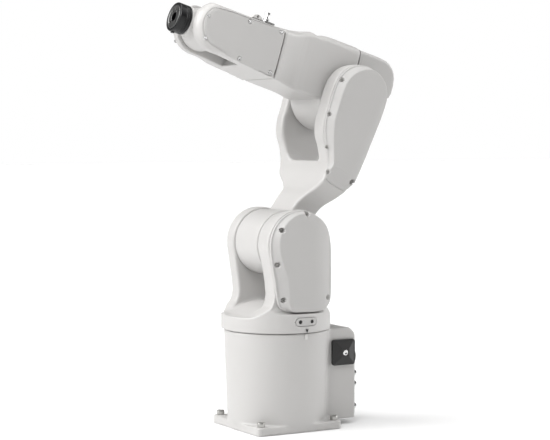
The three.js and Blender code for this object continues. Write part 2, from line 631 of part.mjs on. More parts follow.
add(elbow, "forearm_casting", forearmCasting(), PAINT);
add(elbow, "forearm_left_cover", forearmCover(1), COVER_PAINT);
add(elbow, "forearm_right_cover", forearmCover(-1), COVER_PAINT);
add(elbow, "lifting_lug", liftingLug(), WHITE_PLASTIC);
add(elbow, "air_fitting", airFitting(), BRIGHT_STEEL);
add(elbow, "axis5_motor", servoMotor("Y", 23, 49, -40, J5_MOTOR), MOTOR_CASE);
add(elbow, "axis5_gear_unit", gearUnit("Y", 30.6, 51, 37, AXIS5), STEEL);
add(elbow, "axis5_belt", belt(AXIS5, J5_MOTOR, BELT5), RUBBER);
add(elbow, "axis5_input_pulley", pulley(AXIS5, BELT5.input, BELT5.from, BELT5.to, 5), STEEL);
add(elbow, "axis5_motor_pulley", pulley(J5_MOTOR, BELT5.motor, BELT5.from, BELT5.to, 4), STEEL);

// ---------------------------------------------------------------- wrist and tool flange
const NOSE_END = WRIST - FLANGE_THICKNESS - SEAM;

function wristHousing() {
  const drum = disc("Y", WRIST_DRUM_RADIUS, -WRIST_SLOT_HALF + 0.8, WRIST_SLOT_HALF - 0.8);
  const nose = disc("X", 32, 0, NOSE_END, [0, 0], 40);
  return without(union(drum, nose), disc("X", 24, -30, NOSE_END + 1, [0, 0], 32));
}

function toolFlange() {
  const body = disc("X", FLANGE_RADIUS, NOSE_END + SEAM, WRIST - 1, [0, 0], 40);
  const groove = without(disc("X", 40, 62, 66), disc("X", 29.5, 60, 68, [0, 0], 40));
  const seat = disc("X", 26, WRIST - 4, WRIST + 1, [0, 0], 40);
  const bore = disc("X", 12.6, WRIST - 14, WRIST + 1, [0, 0], 24);
  const tab = block(WRIST - 10, WRIST - 4, -4, 4, -34, -28);
  return without(union(body, tab), groove, seat, bore);
}

// Machined face: four threaded holes on a 31.5 mm circle, a dowel hole and a 20 mm centring bore.
const FACE_HOLES = [45, 135, 225, 315];

function flangeFace() {
  const plate = disc("X", 25.6, WRIST - 4 + GAP, WRIST, [0, 0], 40);
  const holes = FACE_HOLES.map((angle) =>
    disc("X", 2.5, 70, 90, [15.75 * Math.cos(angle * DEG), 15.75 * Math.sin(angle * DEG)], 10),
  );
  const dowel = disc("X", 2.5, 70, 90, [0, 15.75], 10);
  return without(plate, disc("X", 10, 70, 90, [0, 0], 24), dowel, ...holes);
}

add(wrist, "wrist_housing", wristHousing(), PAINT);
add(wrist, "axis6_motor", servoMotor("X", 15.5, 20, -26), MOTOR_CASE);
add(wrist, "axis6_gear_unit", gearUnit("X", 23.4, 50, 21, [0, 0], 5), STEEL);
add(wrist, "tool_flange", toolFlange(), BLACK_ANODISED);
add(wrist, "flange_face", flangeFace(), BRIGHT_STEEL);

export default robot;
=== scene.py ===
"""Looks of a compact six-axis bench-top robot arm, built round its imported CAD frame.

Castings and covers are modelled as signed distance fields in millimetres, each in the frame of its own
link, so that every edge has a real fillet, and are then turned into quad meshes.
"""

import json
import math

import bmesh
import bpy
import numpy as np
import openvdb
from mathutils import Matrix, Vector


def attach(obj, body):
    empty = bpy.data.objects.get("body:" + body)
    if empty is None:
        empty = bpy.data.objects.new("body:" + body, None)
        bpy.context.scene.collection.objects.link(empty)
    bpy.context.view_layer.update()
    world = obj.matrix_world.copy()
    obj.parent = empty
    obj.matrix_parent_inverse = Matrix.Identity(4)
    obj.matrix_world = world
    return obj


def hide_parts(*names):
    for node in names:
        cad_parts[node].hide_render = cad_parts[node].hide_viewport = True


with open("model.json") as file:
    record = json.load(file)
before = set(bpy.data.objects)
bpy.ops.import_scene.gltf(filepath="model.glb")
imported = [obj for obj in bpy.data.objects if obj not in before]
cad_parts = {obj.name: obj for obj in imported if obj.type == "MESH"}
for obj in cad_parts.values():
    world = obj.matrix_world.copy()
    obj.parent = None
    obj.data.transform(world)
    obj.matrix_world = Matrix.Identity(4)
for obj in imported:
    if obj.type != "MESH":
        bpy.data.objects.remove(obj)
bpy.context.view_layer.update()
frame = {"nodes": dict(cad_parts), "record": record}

# ---------------------------------------------------------------- dimensions (mm) and link frames
SHOULDER_HEIGHT = 399.1
UPPER_ARM = 350.0
ELBOW_RISE = 42.0
FOREARM = 351.0
ARM_LEAN = math.radians(26.3)
FOREARM_LIFT = math.radians(16.7)
MM = 0.001

ROW = Matrix.Identity(4)
SHOULDER = Matrix.Translation((0, 0, SHOULDER_HEIGHT)) @ Matrix.Rotation(-ARM_LEAN, 4, "Y")
ELBOW = SHOULDER @ Matrix.Translation((0, 0, UPPER_ARM)) @ Matrix.Rotation(ARM_LEAN - FOREARM_LIFT, 4, "Y")
WRIST_FRAME = ELBOW @ Matrix.Translation((FOREARM, 0, ELBOW_RISE))

COARSER = 1.0  # coarser grids while trying things out


# ---------------------------------------------------------------- signed distance fields
class Grid:
    """A box of sample points with coordinate arrays that broadcast against each other."""

    def __init__(self, low, high, step):
        self.step = step * COARSER
        self.low = np.array(low, float) - 2 * self.step
        counts = [int(math.ceil((h - l) / self.step)) + 5 for l, h in zip(low, high)]
        axes = [self.low[i] + self.step * np.arange(n) for i, n in enumerate(counts)]
        self.shape = tuple(counts)
        self.x = axes[0].reshape(-1, 1, 1)
        self.y = axes[1].reshape(1, -1, 1)
        self.z = axes[2].reshape(1, 1, -1)

    def polar(self, axis, at=(0, 0)):
        """Distance from a line along an axis; `at` is where it crosses the plane of the other two."""
        a, b = {"X": (self.y, self.z), "Y": (self.x, self.z), "Z": (self.x, self.y)}[axis]
        return np.hypot(a - at[0], b - at[1])

    def outline(self, points, axis):
        """Distance to a closed outline that is extruded along an axis."""
        a, b = {"X": (self.y, self.z), "Y": (self.x, self.z), "Z": (self.x, self.y)}[axis]
        return polygon(points, a, b)

    def revolve(self, profile, axis="Z", at=(0, 0)):
        """Distance to a solid of revolution; the profile is (radius, height) from axis to axis."""
        height = {"X": self.x, "Y": self.y, "Z": self.z}[axis]
        return polygon(profile, self.polar(axis, at), height)

    def rod(self, axis, radius, start, end, at=(0, 0), edge=1.0):
        """Round bar with eased ends."""
        height = {"X": self.x, "Y": self.y, "Z": self.z}[axis]
        return capped(self.polar(axis, at) - radius, height, start, end, edge)

    def block(self, x, y, z, edge=1.0):
        """Box with eased edges."""
        parts = [
            np.abs(g - (lo + hi) / 2) - (abs(hi - lo) / 2 - edge)
            for g, (lo, hi) in zip((self.x, self.y, self.z), (x, y, z))
        ]
        outside = np.sqrt(sum(np.maximum(p, 0) ** 2 for p in parts))
        return outside + np.minimum(np.maximum(np.maximum(parts[0], parts[1]), parts[2]), 0) - edge


def polygon(points, a, b):
    """Signed distance to a closed polygon, negative inside."""
    a, b = np.broadcast_arrays(a, b)
    shape = a.shape
    a, b = np.ascontiguousarray(a).ravel(), np.ascontiguousarray(b).ravel()
    near = np.full(a.shape, np.inf)
    inside = np.zeros(a.shape, bool)
    for (a0, b0), (a1, b1) in zip(points, points[1:] + points[:1]):
        da, db = a1 - a0, b1 - b0
        length = da * da + db * db
        if length < 1e-12:
            continue
        t = np.clip(((a - a0) * da + (b - b0) * db) / length, 0, 1)
        near = np.minimum(near, (a - a0 - da * t) ** 2 + (b - b0 - db * t) ** 2)
        if db:
            crosses = (b0 <= b) != (b1 <= b)
            inside ^= crosses & (a < a0 + da * (b - b0) / db)
    return (np.where(inside, -1, 1) * np.sqrt(near)).reshape(shape)


def capped(section, height, start, end, edge):
    """A section distance cut off at two heights, with rounded edges."""
    low, high = min(start, end), max(start, end)
    u = section + edge
    v = np.abs(height - (low + high) / 2) - (high - low) / 2 + edge
    return np.minimum(np.maximum(u, v), 0) + np.hypot(np.maximum(u, 0), np.maximum(v, 0)) - edge


def join(a, b, blend=0.0):
    """Union with a soft inner corner."""
    if not blend:
        return np.minimum(a, b)
    h = np.maximum(blend - np.abs(a - b), 0) / blend
    return np.minimum(a, b) - h * h * blend / 4


def meet(a, b, blend=0.0):
    """Intersection with a soft outer edge."""
    return -join(-a, -b, blend)


def cut(a, tool, blend=0.0):
    """Subtraction with a soft edge."""
    return meet(a, -tool, blend)


def spline(points, steps=4):
    """Closed smooth outline through the given points (centripetal Catmull-Rom)."""
    p = np.array(points, float)
    out = []
    for i in range(len(p)):
        p0, p1, p2, p3 = (p[(i + k) % len(p)] for k in (-1, 0, 1, 2))
        t = [0.0]
        for q0, q1 in ((p0, p1), (p1, p2), (p2, p3)):
            t.append(t[-1] + max(np.linalg.norm(q1 - q0), 1e-6) ** 0.5)
        for u in np.linspace(t[1], t[2], steps, endpoint=False):
            a1 = (t[1] - u) / (t[1] - t[0]) * p0 + (u - t[0]) / (t[1] - t[0]) * p1
            a2 = (t[2] - u) / (t[2] - t[1]) * p1 + (u - t[1]) / (t[2] - t[1]) * p2
            a3 = (t[3] - u) / (t[3] - t[2]) * p2 + (u - t[2]) / (t[3] - t[2]) * p3
            b1 = (t[2] - u) / (t[2] - t[0]) * a1 + (u - t[0]) / (t[2] - t[0]) * a2
            b2 = (t[3] - u) / (t[3] - t[1]) * a2 + (u - t[1]) / (t[3] - t[1]) * a3
            c = (t[2] - u) / (t[2] - t[1]) * b1 + (u - t[1]) / (t[2] - t[1]) * b2
            out.append((float(c[0]), float(c[1])))
    return out


def arc(radius, start, end, steps, at=(0, 0)):
    angles = np.radians(np.linspace(start, end, steps + 1))
    return [(at[0] + radius * math.cos(t), at[1] + radius * math.sin(t)) for t in angles]


def rectangle(a0, a1, b0, b1):
    return [(a0, b0), (a1, b0), (a1, b1), (a0, b1)]


# ---------------------------------------------------------------- from fields and meshes to pieces
def sample(field, points):
    """Trilinear values of a field at points in grid units."""
    base = np.clip(np.floor(points).astype(int), 0, np.array(field.shape) - 2)
    f = points - base
    value = np.zeros(len(points))
    for dx in (0, 1):
        for dy in (0, 1):
            for dz in (0, 1):
                weight = (
                    np.abs((1 - dx) - f[:, 0]) * np.abs((1 - dy) - f[:, 1]) * np.abs((1 - dz) - f[:, 2])
                )
                value += weight * field[base[:, 0] + dx, base[:, 1] + dy, base[:, 2] + dz]
    return value


def surface(grid, field, link):
    """Quads on the zero level of a field, in metres in the row frame."""
    field = np.broadcast_to(field, grid.shape).astype(np.float32)
    volume = openvdb.FloatGrid(background=1e3)
    volume.copyFromArray(np.ascontiguousarray(field))
    points, quads = volume.convertToQuads(isovalue=0)
    points = points.astype(float)
    slopes = [np.gradient(field, axis=i) for i in range(3)]
    for _ in range(2):  # pulls each vertex on to the surface, which keeps the edges crisp
        value = sample(field, points)
        slope = np.stack([sample(s, points) for s in slopes], axis=1)
        size = np.maximum((slope**2).sum(1), 0.2)
        shift = slope * (value / size)[:, None]
        points -= np.clip(shift, -0.6, 0.6)
    points = points * grid.step + grid.low
    matrix = np.array(Matrix.Scale(MM, 4) @ link)
    points = points @ matrix[:3, :3].T + matrix[:3, 3]
    return points, quads[:, ::-1]


def piece(name, body, material, mesh, stands_for=()):
    """Makes an object from a mesh in the row frame and hangs it on its CAD body."""
    obj = bpy.data.objects.new(name, mesh)
    bpy.context.scene.collection.objects.link(obj)
    mesh.materials.clear()
    mesh.materials.append(material)
    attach(obj, body)
    if stands_for:
        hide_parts(*stands_for)
    return obj


def cast(name, body, material, grid, field, link, stands_for=(), slot=None):
    """A casting or moulding from its field."""
    points, quads = surface(grid, field, link)
    mesh = bpy.data.meshes.new(name)
    mesh.from_pydata(points.tolist(), [], quads.tolist())
    mesh.polygons.foreach_set("use_smooth", [True] * len(mesh.polygons))
    mesh.update()
    return piece(name, body, material, mesh, stands_for)


def placed(bm, link, at, direction):
    """Stands a mesh that was made about +Z, in mm, at a point of a link, looking in a direction."""
    turn = Vector((0, 0, 1)).rotation_difference(Vector(direction)).to_matrix().to_4x4()
    bm.transform(Matrix.Scale(MM, 4) @ link @ Matrix.Translation(at) @ turn)


def lathe(bm, profile, segments):
    """Surface of revolution about Z from a (radius, height) profile; gives its rings of vertices."""
    rings = []
    for radius, height in profile:
        if radius < 1e-6:
            rings.append([bm.verts.new((0, 0, height))])
        else:
            angles = [2 * math.pi * i / segments for i in range(segments)]
            circle = [(radius * math.cos(t), radius * math.sin(t), height) for t in angles]
            rings.append([bm.verts.new(co) for co in circle])
    for below, above in zip(rings, rings[1:]):
        for i in range(segments):
            k = (i + 1) % segments
            if len(below) == 1:
                bm.faces.new((below[0], above[k], above[i]))
            elif len(above) == 1:
                bm.faces.new((below[i], below[k], above[0]))
            else:
                bm.faces.new((below[i], below[k], above[k], above[i]))
    return rings


def socket_screw(radius, height, shank=2.0):
    """Socket cap screw about Z with eased rim and hexagon socket; seat at z 0."""
    bm = bmesh.new()
    segments = 36
    hexagon = radius * 0.52  # centre to flat
    profile = [
        (0, -shank), (radius * 0.6, -shank), (radius * 0.6, 0), (radius * 0.985, 0),
        (radius, 0.02 * height), (radius, 0.84 * height), (radius * 0.95, 0.95 * height),
        (radius * 0.86, height), (radius * 0.66, height), (radius * 0.62, 0.97 * height),
    ]
    rings = lathe(bm, profile, segments)
    depth = 0.2 * height

    def hex_ring(z):
        ring = []
        for i in range(segments):
            t = 2 * math.pi * i / segments
            sector = math.fmod(t + math.pi / 6, math.pi / 3) - math.pi / 6
            r = hexagon / math.cos(sector)
            ring.append(bm.verts.new((r * math.cos(t), r * math.sin(t), z)))
        return ring

    top, bottom = hex_ring(0.93 * height), hex_ring(depth)
    floor = bm.verts.new((0, 0, depth - 0.12 * radius))
    for a, b in ((rings[-1], top), (top, bottom)):
        for i in range(segments):
            k = (i + 1) % segments
            bm.faces.new((a[i], a[k], b[k], b[i]))
    for i in range(segments):
        bm.faces.new((bottom[i], bottom[(i + 1) % segments], floor))
    return bm


def screws(name, body, link, places, direction, radius, height, material, stands_for=()):
    """One piece of several equal screws."""
    whole = bmesh.new()
    for at in places:
        one = socket_screw(radius, height)
        placed(one, link, at, direction)
        scratch = bpy.data.meshes.new("screw")
        one.to_mesh(scratch)
        one.free()
        whole.from_mesh(scratch)
        bpy.data.meshes.remove(scratch)
    return from_bmesh(name, body, whole, material, stands_for)


def from_bmesh(name, body, bm, material, stands_for=(), sharp=35):
    """Finishes a bmesh in the row frame: outward faces and smooth shading up to an angle."""
    bmesh.ops.recalc_face_normals(bm, faces=bm.faces)
    mesh = bpy.data.meshes.new(name)
    bm.to_mesh(mesh)
    bm.free()
    mesh.polygons.foreach_set("use_smooth", [True] * len(mesh.polygons))
    mesh.set_sharp_from_angle(angle=math.radians(sharp))
    return piece(name, body, material, mesh, stands_for)


# ---------------------------------------------------------------- materials
def nodes_of(name):
    """A new material with its tree and its shader."""
    material = bpy.data.materials.new(name)
    material.use_nodes = True
    tree = material.node_tree
    return material, tree, tree.nodes["Principled BSDF"]


def finish(name, color, roughness, metallic=0.0, spread=0.03, grain=900.0, bump=0.02, rough_spread=0.05):
    """Procedural finish: colour and roughness wander a little, and fine grain shows as bump."""
    material, tree, shader = nodes_of(name)
    nodes, links = tree.nodes, tree.links
    place = nodes.new("ShaderNodeTexCoord")
    broad = nodes.new("ShaderNodeTexNoise")
    broad.inputs["Scale"].default_value = 9.0
    broad.inputs["Detail"].default_value = 3.0
    links.new(place.outputs["Object"], broad.inputs["Vector"])
    tint = nodes.new("ShaderNodeValToRGB")
    tint.color_ramp.elements[0].position = 0.3
    tint.color_ramp.elements[1].position = 0.7
    tint.color_ramp.elements[0].color = (*[max(c * (1 - spread), 0) for c in color], 1)
    tint.color_ramp.elements[1].color = (*[min(c * (1 + spread), 1) for c in color], 1)
    links.new(broad.outputs["Fac"], tint.inputs["Fac"])
    links.new(tint.outputs["Color"], shader.inputs["Base Color"])

    fine = nodes.new("ShaderNodeTexNoise")
    fine.inputs["Scale"].default_value = grain
    fine.inputs["Detail"].default_value = 2.0
    links.new(place.outputs["Object"], fine.inputs["Vector"])
    rough = nodes.new("ShaderNodeMapRange")
    rough.inputs["To Min"].default_value = max(roughness - rough_spread, 0.02)
    rough.inputs["To Max"].default_value = min(roughness + rough_spread, 1.0)
    links.new(fine.outputs["Fac"], rough.inputs["Value"])
    links.new(rough.outputs["Result"], shader.inputs["Roughness"])
    relief = nodes.new("ShaderNodeBump")
    relief.inputs["Strength"].default_value = bump
    relief.inputs["Distance"].default_value = 0.0006
    links.new(fine.outputs["Fac"], relief.inputs["Height"])
    links.new(relief.outputs["Normal"], shader.inputs["Normal"])
    shader.inputs["Metallic"].default_value = metallic
    return material


PAINT = finish("casting_enamel", (0.46, 0.452, 0.443), 0.42, spread=0.012, grain=420, bump=0.05)
COVER_PAINT = finish("cover_enamel", (0.43, 0.423, 0.415), 0.47, spread=0.012, grain=520, bump=0.05)
BLACK_PLASTIC = finish("black_moulding", (0.009, 0.0085, 0.0085), 0.42, spread=0.25, grain=1500, bump=0.35)
WHITE_PLASTIC = finish("white_moulding", (0.56, 0.55, 0.54), 0.45, spread=0.02, grain=900, bump=0.06)
CONNECTOR = finish("connector_shell", (0.035, 0.035, 0.038), 0.45, spread=0.2, grain=1400, bump=0.2)
SCREW_STEEL = finish("screw_steel", (0.42, 0.415, 0.40), 0.34, 0.95, spread=0.15, grain=1800, bump=0.12)
BRIGHT_METAL = finish("bright_metal", (0.74, 0.74, 0.74), 0.13, 1.0, spread=0.04, grain=1500, bump=0.03)
MACHINED = finish("machined_steel", (0.5, 0.5, 0.5), 0.3, 1.0, spread=0.08, grain=900, bump=0.12)
MOTOR_CASE = finish("motor_lacquer", (0.035, 0.036, 0.04), 0.5, spread=0.2, grain=700, bump=0.2)
BELT_RUBBER = finish("belt_rubber", (0.02, 0.02, 0.02), 0.8, spread=0.3, grain=2200, bump=0.4)
BLACK_ANODISED = finish(
    "black_anodised", (0.007, 0.007, 0.0075), 0.3, 0.3, spread=0.2, grain=700, bump=0.08
)
FACE_METAL = finish("flange_face_metal", (0.17, 0.17, 0.168), 0.3, 1.0, spread=0.1, grain=1200, bump=0.1)

SLOT_MATERIAL = {
    "casting_paint": PAINT, "cover_paint": COVER_PAINT, "connector_black": CONNECTOR,
    "bright_metal": BRIGHT_METAL, "black_plastic": BLACK_PLASTIC, "white_plastic": WHITE_PLASTIC,
    "screw_steel": SCREW_STEEL, "motor_case": MOTOR_CASE, "machined_steel": MACHINED,
    "belt_rubber": BELT_RUBBER, "anodised_black": BLACK_ANODISED,
}
for row in frame["record"]["subparts"]:
    node = frame["nodes"].get(row["node"])
    if node:
        node.data.materials.clear()
        node.data.materials.append(SLOT_MATERIAL[row["material_slot"]])

# ---------------------------------------------------------------- camera, light and floor
camera = bpy.data.objects.new("camera", bpy.data.cameras.new("camera"))
bpy.context.scene.collection.objects.link(camera)
SENSOR, LENS = 36.0, 106.6  # mm
EYE = (1.7640, 3.0457, 0.6305)
YAW, PITCH = math.radians(-120.02), math.radians(-2.97)
camera.data.sensor_width = SENSOR
camera.data.lens = LENS
camera.data.clip_end = 100.0
camera.location = EYE
looks = Vector((math.cos(PITCH) * math.cos(YAW), math.cos(PITCH) * math.sin(YAW), math.sin(PITCH)))
camera.rotation_euler = looks.to_track_quat("-Z", "Y").to_euler()
bpy.context.scene.camera = camera


def sun(name, towards, strength, angle):
    """Distant lamp: direction from the scene to the lamp, strength and apparent width in degrees."""
    lamp = bpy.data.objects.new(name, bpy.data.lights.new(name, "SUN"))
    bpy.context.scene.collection.objects.link(lamp)
    lamp.data.energy = strength
    lamp.data.angle = math.radians(angle)
    lamp.rotation_euler = Vector(towards).to_track_quat("Z", "Y").to_euler()


sun("key", (0.80, -0.28, 0.55), 3.2, 50)
sun("top", (0.0, 0.0, 1.0), 1.4, 50)
sun("fill", (-0.95, 0.15, 0.30), 2.2, 60)

panel = bpy.data.objects.new("panel", bpy.data.lights.new("panel", "AREA"))
bpy.context.scene.collection.objects.link(panel)
panel.data.size = 1.0
panel.data.energy = 20.0
PANEL_AT, PANEL_AIM = Vector((1.1, 1.0, 1.9)), Vector((0, 0, 0.75))
panel.location = PANEL_AT
panel.rotation_euler = (PANEL_AT - PANEL_AIM).to_track_quat("Z", "Y").to_euler()

world = bpy.data.worlds.new("studio")
bpy.context.scene.world = world
world.use_nodes = True
w_nodes, w_links = world.node_tree.nodes, world.node_tree.links
glow = w_nodes["Background"]
glow.inputs["Color"].default_value = (1.0, 0.995, 0.985, 1)
glow.inputs["Strength"].default_value = 0.18
backdrop = w_nodes.new("ShaderNodeBackground")
backdrop.inputs["Color"].default_value = (1, 1, 1, 1)
backdrop.inputs["Strength"].default_value = 1.0
path = w_nodes.new("ShaderNodeLightPath")
choose = w_nodes.new("ShaderNodeMixShader")
w_links.new(path.outputs["Is Camera Ray"], choose.inputs["Fac"])
w_links.new(glow.outputs["Background"], choose.inputs[1])
w_links.new(backdrop.outputs["Background"], choose.inputs[2])
w_links.new(choose.outputs["Shader"], w_nodes["World Output"].inputs["Surface"])
bpy.context.scene.view_settings.view_transform = "Standard"

floor_mesh = bpy.data.meshes.new("floor")
FLOOR_HALF = 30.0
floor_mesh.from_pydata(
    [(-FLOOR_HALF, -FLOOR_HALF, 0), (FLOOR_HALF, -FLOOR_HALF, 0), (FLOOR_HALF, FLOOR_HALF, 0),
     (-FLOOR_HALF, FLOOR_HALF, 0)], [], [(0, 1, 2, 3)],
)
floor = bpy.data.objects.new("floor", floor_mesh)
bpy.context.scene.collection.objects.link(floor)
floor_mesh.materials.append(
    finish("floor_paper", (0.82, 0.82, 0.82), 0.9, spread=0.0, grain=40, bump=0.0, rough_spread=0.02)
)

# ---------------------------------------------------------------- base
SIDE_PORT = (-131.0, 159.0)
BOLTS = [(x, y) for x in (90, -90) for y in (90, -90)]


def rounded_rectangle(a, b, half_a, half_b, corner):
    """Distance to a rectangle with round corners; a and b are measured from its centre."""
    u, v = np.abs(a) - (half_a - corner), np.abs(b) - (half_b - corner)
    return np.minimum(np.maximum(u, v), 0) + np.hypot(np.maximum(u, 0), np.maximum(v, 0)) - corner


def base_shell():
    """Square foot, slightly waisted column and rear connector box, hollow from above and behind."""
    g = Grid((-163, -114, 0), (114, 114, 213), 2.0)
    foot = capped(rounded_rectangle(g.x, g.y, 104, 104, 11), g.z, 0, 17, 1.6)
    column = g.revolve([
        (0, 0), (103, 0), (104.5, 10), (107, 20), (108.5, 60), (111.5, 140), (113.6, 200), (114, 208),
        (113.6, 211), (112.6, 212.5), (0, 212.5),
    ])
    side = g.outline([(-60, 12), (-163, 12), (-163, 199), (-151.5, 212), (-60, 212)], "Y")
    crown = [*arc(9, 0, 90, 5, (51, 203)), *arc(9, 90, 180, 5, (-51, 203))]
    tall = g.outline([(-60, 13), (-58, 12), (58, 12), (60, 13), *crown], "X")
    box = meet(side, tall, 2.5)
    body = join(join(foot, column, 5), box, 5)
    for x, y in BOLTS:
        body = join(body, g.rod("Z", 13.5, 15, 18.2, (x, y), 0.8), 2)
        body = cut(body, g.rod("Z", 5.6, -5, 30, (x, y), 0.1))
    well = g.revolve([(0, 22), (94, 22), (97, 60), (100, 205), (100, 225), (0, 225)])
    body = cut(body, well, 2)
    body = cut(body, g.block((-180, -88), (-51, 51), (24, 198), 4), 2)
    body = cut(body, g.rod("Y", 18, 40, 70, SIDE_PORT, 0.5), 1)
    body = np.maximum(body, -g.z)
    return g, body


cast("base_shell", "base", PAINT, *base_shell(), ROW, ["base_casting"], "casting_paint")


def side_cap():
    """Square plug with a low pyramid face and a well for its screw."""
    x, z = SIDE_PORT
    g = Grid((x - 30, 49, z - 29), (x + 30, 75, z + 29), 0.7)
    square = rounded_rectangle(g.x - x, g.z - z, 29, 28, 6)
    plinth = capped(square, g.y, 60.35, 66.5, 1.2)
    slope = 0.42
    reach = np.maximum(np.abs(g.x - x), np.abs(g.z - z))
    pyramid = (reach - 27 + (g.y - 66) / slope) * slope / math.hypot(1, slope)
    pyramid = np.maximum(np.maximum(pyramid, g.y - 73.4), 60.4 - g.y)
    body = join(plinth, meet(pyramid, square + 1.5, 1.0), 0.6)
    body = join(body, g.rod("Y", 16, 50.2, 61, SIDE_PORT, 1))
    return g, cut(body, g.rod("Y", 6.6, 67, 90, SIDE_PORT, 0.3), 0.4)


cast("side_cap_shell", "base", BLACK_PLASTIC, *side_cap(), ROW, ["side_blanking_cap"], "black_plastic")
screws(
    "side_cap_screw", "base", ROW, [(SIDE_PORT[0], 68.3, SIDE_PORT[1])], (0, 1, 0), 6.2, 5.0,
    BRIGHT_METAL, ["blanking_cap_screw"],
)
for i, (x, y) in enumerate(BOLTS):
    screws(
        f"foot_bolt_{i + 1}", "base", ROW, [(x, y, 18.3)], (0, 0, 1), 8.3, 10.0, SCREW_STEEL,
        [f"foundation_bolt_{i + 1}"],
    )


# ---------------------------------------------------------------- turntable
YOKE_HEAD = 75.0


def yoke_outline(waist, foot):
    """One yoke arm from the side: round head, waist and a foot that spreads on to the deck."""
    head = arc(YOKE_HEAD, -14, 194, 28, (0, SHOULDER_HEIGHT))
    right = [
        (foot + 6, 214), (foot + 4, 240), (foot - 6, 250), (waist + 17, 261), (waist + 8, 270),
        (waist + 3, 281), (waist + 1, 294), (waist + 3, 318), (waist + 7, 340),
    ]
    left = [(-a, b) for a, b in reversed(right)]
    return right + head[1:-1] + left


def turntable_shell():
    """Ring and sloping deck with the two yoke arms, the left one with a lip under its side cover."""
    g = Grid((-117, -117, 213.7), (120, 117, 474.2), 1.9)
    wall = g.polar("Z") - 117
    ring = capped(wall, g.z, 213.7, 245.5, 1.8)
    deck = g.outline(
        [(-125, 205), (125, 205), (125, 232), (104, 243), (80, 253), (58, 262.5), (38, 269), (18, 272.5),
         (-18, 272.5), (-38, 269), (-58, 262.5), (-80, 253), (-104, 243), (-125, 232)], "Y",
    )
    deck = capped(deck, g.y, -88, 96, 2)
    lip = g.block((-76, 76), (40, 130), (205, 254), 6)
    low = join(join(ring, deck, 4), lip, 12)
    near = g.outline(yoke_outline(58, 96), "Y")
    draft = np.clip((94.0 - g.y) / 55.0, 0, 1)
    near = capped(near + 8.0 * draft**1.5, g.y, 39.5, 94.0, 1.6)
    near = join(near, g.rod("Y", 69.5, 39.5, 60, (0, SHOULDER_HEIGHT), 2), 3)
    far = capped(g.outline(yoke_outline(60, 90), "Y"), g.y, -92, -58.5, 6)
    body = join(join(low, near, 8), far, 8)
    body = meet(body, wall + 0.4, 2)
    facet = g.outline([(60, -62), (104, -61.5), (110.6, -31), (70, -29)], "Z")
    body = join(body, capped(facet, g.z, 213.7, 247, 1.2), 1.5)
    body = np.maximum(body, 213.7 - g.z)
    body = cut(body, g.rod("Y", 50, 30, 70, (0, SHOULDER_HEIGHT), 0.2))
    body = cut(body, g.rod("Y", 76, -58.5, 39.5, (0, SHOULDER_HEIGHT), 0.1))  # room for the arm's drum
    body = cut(body, g.block((-44, 44), (64, 110), (300, 450), 14))
    body = cut(body, g.rod("Y", 48, -76, -50, (0, SHOULDER_HEIGHT), 0.2))
    body = cut(body, g.rod("Z", 60, 190, 256, (0, 0), 2))
    slot = np.hypot(np.maximum(np.abs(g.x + 6) - 17, 0), g.z - 237.5) - 9.0
    return g, cut(body, np.maximum(slot, 108 - g.y), 1)


cast("turntable_shell", "turntable", PAINT, *turntable_shell(), ROW, ["turntable_casting"], "casting_paint")

SHOULDER_RIM = spline([
    (0, 473), (30, 466), (54, 449), (69, 424), (73, 395), (69, 360), (62, 322), (57, 288), (50, 268),
    (30, 258), (0, 256), (-35, 257), (-60, 262), (-73, 276), (-76, 310), (-76, 360), (-75, 400),
    (-69, 428), (-54, 450), (-30, 466),
])
SHOULDER_FACE = spline([
    (-2, 465), (22, 459), (43, 443), (55, 420), (57, 394), (49, 362), (39, 334), (34, 300), (34, 278),
    (27, 261), (0, 258), (-34, 258), (-58, 262), (-72, 278), (-75, 320), (-75, 390), (-70, 425),
    (-50, 450), (-24, 464),
])
SHOULDER_SCREWS = [(-12, 465), (50, 432), (58, 360), (44, 285), (-66, 286)]
SHOULDER_SEAT = 100.4  # Y of the seats under the cover's screws
POCKET = 5.4  # radius of the round pockets over the cover screws


def shoulder_cover():
    """Moulded cover: thin rim and a raised face with slanting flanks and screw pockets."""
    g = Grid((-77, 94, 255), (74, 114.2, 474), 1.15)
    rim = capped(g.outline(SHOULDER_RIM, "Y"), g.y, 94.9, 101.5, 1.4)
    back = np.clip((-22 - g.x) / 54, 0, 1)
    over = np.clip((g.z - 430) / 40, 0, 1)
    crown = 113.8 - 15.0 * back**2.2 - 3.0 * over**2
    rise = np.clip((g.y - 98.5) / 15.0, 0, 1)
    outer, inner = g.outline(SHOULDER_RIM, "Y") + 1.2, g.outline(SHOULDER_FACE, "Y")
    flank = (outer * (1 - rise) + inner * rise) / 1.25
    face = meet(flank, g.y - crown, 1.6)
    face = np.maximum(face, 96 - g.y)
    body = join(rim, face, 1.0)
    for x, z in SHOULDER_SCREWS:
        body = cut(body, g.rod("Y", POCKET, SHOULDER_SEAT, 125, (x, z), 0.3), 0.8)
    hollow = g.block((-40, 26), (60, 109.8), (300, 440), 8)
    return g, cut(body, hollow)


cast(
    "shoulder_cover_shell", "turntable", COVER_PAINT, *shoulder_cover(), ROW, ["shoulder_side_cover"],
    "cover_paint",
)
screws(
    "shoulder_cover_screws", "turntable", ROW, [(x, SHOULDER_SEAT, z) for x, z in SHOULDER_SCREWS],
    (0, 1, 0),
    3.3, 3.0, SCREW_STEEL,
)


def port_plate():
    """Plate in the turntable's lip with two plug holes."""
    g = Grid((-32, 107, 228), (20, 116, 247), 0.6)
    pill = np.hypot(np.maximum(np.abs(g.x + 6) - 17, 0), g.z - 237.5) - 8.5
    plate = meet(pill, np.hypot(g.x, g.y) - 116.8, 1.2)
    plate = np.maximum(plate, 108.5 - g.y)
    for x in (-20.5, 8.5):
        plate = cut(plate, g.rod("Y", 4.3, 100, 130, (x, 237.5), 0.1), 0.6)
    return g, plate


